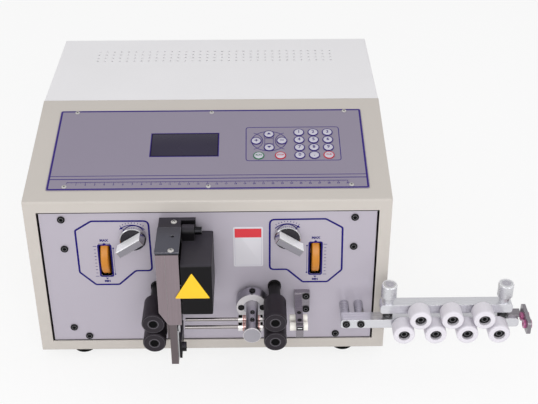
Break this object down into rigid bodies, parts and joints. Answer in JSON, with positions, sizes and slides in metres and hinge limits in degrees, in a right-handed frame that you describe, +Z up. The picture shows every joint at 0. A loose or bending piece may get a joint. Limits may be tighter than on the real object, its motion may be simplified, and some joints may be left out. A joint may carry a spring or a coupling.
{
  "type": "automatic wire cutting and stripping machine",
  "caption": "Bench-top machine that feeds wires through straightening and drive rollers and cuts and strips them between moving blades under a hinged guard.",
  "frame": {"origin": "middle of the part's footprint, on the bench", "axes": "+X to the right along the wire path, towards the straightener; +Y to the back of the case; +Z up"},
  "size_m": [0.5408, 0.4144, 0.245],
  "materials": {
    "bar_metal": "satin anodised",
    "black_metal": "satin black",
    "black_plastic": "moulded",
    "black_screw": "black oxide",
    "bright_steel": "bright nickel plating",
    "case_paint": "light grey powder coat, fine texture",
    "eyelet_pink": "glazed ceramic",
    "lid_paint": "near-white powder coat, fine texture",
    "motor_black": "black enamel",
    "nut_brass": "turned",
    "orange_plastic": "moulded, ribbed rim",
    "overlay_film": "satin printed film",
    "panel_metal": "brushed, slightly lavender",
    "plate_metal": "milled",
    "roller_black": "black oxide, fine straight knurl",
    "rubber": "matt black",
    "spring_steel": "wire",
    "steel": "satin ground",
    "tube_steel": "drawn tube",
    "white_plastic": "white acetal"
  },
  "bodies": {
    "machine": {"case_shell": "case_paint", "case_lid": "lid_paint", "back_panel": "case_paint", "rubber_feet": "rubber", "front_panel": "panel_metal", "mount_plate": "plate_metal", "socket_screws": "black_screw", "console_overlay": "overlay_film", "feed_motors": "motor_black", "head_block": "black_metal", "hinge_pin": "black_metal", "head_column": "steel", "cap_plate": "bar_metal", "cap_screws": "bright_steel", "inlet_block": "steel", "inlet_liners": "white_plastic", "straightener_posts": "bright_steel", "straightener_lower_bar": "bar_metal", "lower_axle_screws": "black_screw", "guide_plate": "bar_metal", "guide_eyelets": "eyelet_pink", "power_inlet": "black_plastic", "straightener_springs": "spring_steel"},
    "guard": {"blade_guard": "black_metal"},
    "conduit": {"conduit_hub": "bright_steel", "conduit_tubes": "tube_steel", "conduit_nuts": "nut_brass"},
    "upper_cutter": {"upper_holder": "steel", "upper_blade": "bright_steel", "upper_clamp": "black_metal"},
    "lower_cutter": {"lower_holder": "steel", "lower_blade": "bright_steel", "lower_clamp": "black_metal"},
    "straightener": {"straightener_upper_bar": "bar_metal", "upper_axle_screws": "black_screw"},
    "thumb_left": {"thumb_screw_left": "bright_steel"},
    "thumb_right": {"thumb_screw_right": "bright_steel"},
    "rocker": {"power_rocker": "black_plastic"},
    "lower_feed_left": {"lower_roller_left": "roller_black", "lower_shaft_left": "steel"},
    "upper_feed_left": {"upper_roller_left": "roller_black", "upper_shaft_left": "steel"},
    "press_left": {"press_slide_left": "steel"},
    "knob_left": {"lift_knob_left": "bright_steel"},
    "wheel_left": {"thumb_wheel_left": "orange_plastic"},
    "lower_feed_right": {"lower_roller_right": "roller_black", "lower_shaft_right": "steel"},
    "upper_feed_right": {"upper_roller_right": "roller_black", "upper_shaft_right": "steel"},
    "press_right": {"press_slide_right": "steel"},
    "knob_right": {"lift_knob_right": "bright_steel"},
    "wheel_right": {"thumb_wheel_right": "orange_plastic"},
    "lower_idler_1": {"lower_idler_1": "white_plastic"},
    "lower_idler_2": {"lower_idler_2": "white_plastic"},
    "lower_idler_3": {"lower_idler_3": "white_plastic"},
    "lower_idler_4": {"lower_idler_4": "white_plastic"},
    "upper_idler_1": {"upper_idler_1": "white_plastic"},
    "upper_idler_2": {"upper_idler_2": "white_plastic"},
    "upper_idler_3": {"upper_idler_3": "white_plastic"}
  },
  "joints": [
    {"name": "guard_hinge", "type": "hinge", "parent": "machine", "child": "guard", "pos_m": [-0.09615, -0.15175, 0.181], "axis": [1, 0, 0], "range_deg": [-80, 0]},
    {"name": "conduit_swing", "type": "hinge", "parent": "machine", "child": "conduit", "pos_m": [-0.02985, -0.15075, 0.0834], "axis": [0, 1, 0], "range_deg": [0, 7.5]},
    {"name": "upper_cutter_slide", "type": "slide", "parent": "machine", "child": "upper_cutter", "axis": [0, 0, -1], "range_m": [0, 0.005]},
    {"name": "lower_cutter_slide", "type": "slide", "parent": "machine", "child": "lower_cutter", "axis": [0, 0, 1], "range_m": [0, 0.005]},
    {"name": "press_slide_left", "type": "slide", "parent": "machine", "child": "press_left", "axis": [0, 0, 1], "range_m": [0, 0.003]},
    {"name": "lift_knob_left", "type": "hinge", "parent": "machine", "child": "knob_left", "pos_m": [-0.15635, -0.14075, 0.1657], "axis": [0, 1, 0], "range_deg": [-95, 0]},
    {"name": "lower_feed_left", "type": "hinge", "parent": "machine", "child": "lower_feed_left", "pos_m": [-0.13435, -0.18375, 0.0706], "axis": [0, 1, 0], "continuous": true},
    {"name": "upper_feed_left", "type": "hinge", "parent": "press_left", "child": "upper_feed_left", "pos_m": [-0.13435, -0.18375, 0.0962], "axis": [0, 1, 0], "continuous": true},
    {"name": "thumb_wheel_left", "type": "hinge", "parent": "machine", "child": "wheel_left", "pos_m": [-0.18855, -0.12275, 0.1357], "axis": [1, 0, 0], "range_deg": [-150, 150]},
    {"name": "press_slide_right", "type": "slide", "parent": "machine", "child": "press_right", "axis": [0, 0, 1], "range_m": [0, 0.003]},
    {"name": "lift_knob_right", "type": "hinge", "parent": "machine", "child": "knob_right", "pos_m": [0.00895, -0.14075, 0.1657], "axis": [0, 1, 0], "range_deg": [0, 95]},
    {"name": "lower_feed_right", "type": "hinge", "parent": "machine", "child": "lower_feed_right", "pos_m": [-0.00495, -0.18375, 0.0706], "axis": [0, 1, 0], "continuous": true},
    {"name": "upper_feed_right", "type": "hinge", "parent": "press_right", "child": "upper_feed_right", "pos_m": [-0.00495, -0.18375, 0.0962], "axis": [0, 1, 0], "continuous": true},
    {"name": "thumb_wheel_right", "type": "hinge", "parent": "machine", "child": "wheel_right", "pos_m": [0.03965, -0.12275, 0.1357], "axis": [1, 0, 0], "range_deg": [-150, 150]},
    {"name": "straightener_slide", "type": "slide", "parent": "machine", "child": "straightener", "axis": [0, 0, 1], "range_m": [-0.0025, 0.006], "deforming": ["straightener_springs"]},
    {"name": "thumb_turn_left", "type": "hinge", "parent": "straightener", "child": "thumb_left", "pos_m": [0.11835, -0.16925, 0.101], "axis": [0, 0, 1], "range_deg": [-900, 2160]},
    {"name": "thumb_turn_right", "type": "hinge", "parent": "straightener", "child": "thumb_right", "pos_m": [0.24405, -0.16925, 0.101], "axis": [0, 0, 1], "range_deg": [-900, 2160]},
    {"name": "lower_idler_1_spin", "type": "hinge", "parent": "machine", "child": "lower_idler_1", "pos_m": [0.13395, -0.18675, 0.0725], "axis": [0, 1, 0], "continuous": true},
    {"name": "lower_idler_2_spin", "type": "hinge", "parent": "machine", "child": "lower_idler_2", "pos_m": [0.16815, -0.18675, 0.0725], "axis": [0, 1, 0], "continuous": true},
    {"name": "lower_idler_3_spin", "type": "hinge", "parent": "machine", "child": "lower_idler_3", "pos_m": [0.20235, -0.18675, 0.0725], "axis": [0, 1, 0], "continuous": true},
    {"name": "lower_idler_4_spin", "type": "hinge", "parent": "machine", "child": "lower_idler_4", "pos_m": [0.23655, -0.18675, 0.0725], "axis": [0, 1, 0], "continuous": true},
    {"name": "upper_idler_1_spin", "type": "hinge", "parent": "straightener", "child": "upper_idler_1", "pos_m": [0.15055, -0.18675, 0.0919], "axis": [0, 1, 0], "continuous": true},
    {"name": "upper_idler_2_spin", "type": "hinge", "parent": "straightener", "child": "upper_idler_2", "pos_m": [0.18475, -0.18675, 0.0919], "axis": [0, 1, 0], "continuous": true},
    {"name": "upper_idler_3_spin", "type": "hinge", "parent": "straightener", "child": "upper_idler_3", "pos_m": [0.21895, -0.18675, 0.0919], "axis": [0, 1, 0], "continuous": true},
    {"name": "power_rocker_tilt", "type": "hinge", "parent": "machine", "child": "rocker", "pos_m": [-0.21535, 0.20325, 0.111], "axis": [1, 0, 0], "range_deg": [-16, 0]}
  ],
  "couplings": [
    {"joint": "lower_cutter_slide", "follows": "upper_cutter_slide", "ratio": 1},
    {"joint": "lift_knob_left", "follows": "press_slide_left", "rad_per_m": -552.6},
    {"joint": "upper_feed_left", "follows": "lower_feed_left", "ratio": -1},
    {"joint": "lift_knob_right", "follows": "press_slide_right", "rad_per_m": 552.6},
    {"joint": "upper_feed_right", "follows": "lower_feed_right", "ratio": -1},
    {"joint": "straightener_slide", "follows": "thumb_turn_left", "m_per_rad": 0.00015915},
    {"joint": "thumb_turn_right", "follows": "thumb_turn_left", "ratio": 1}
  ]
}
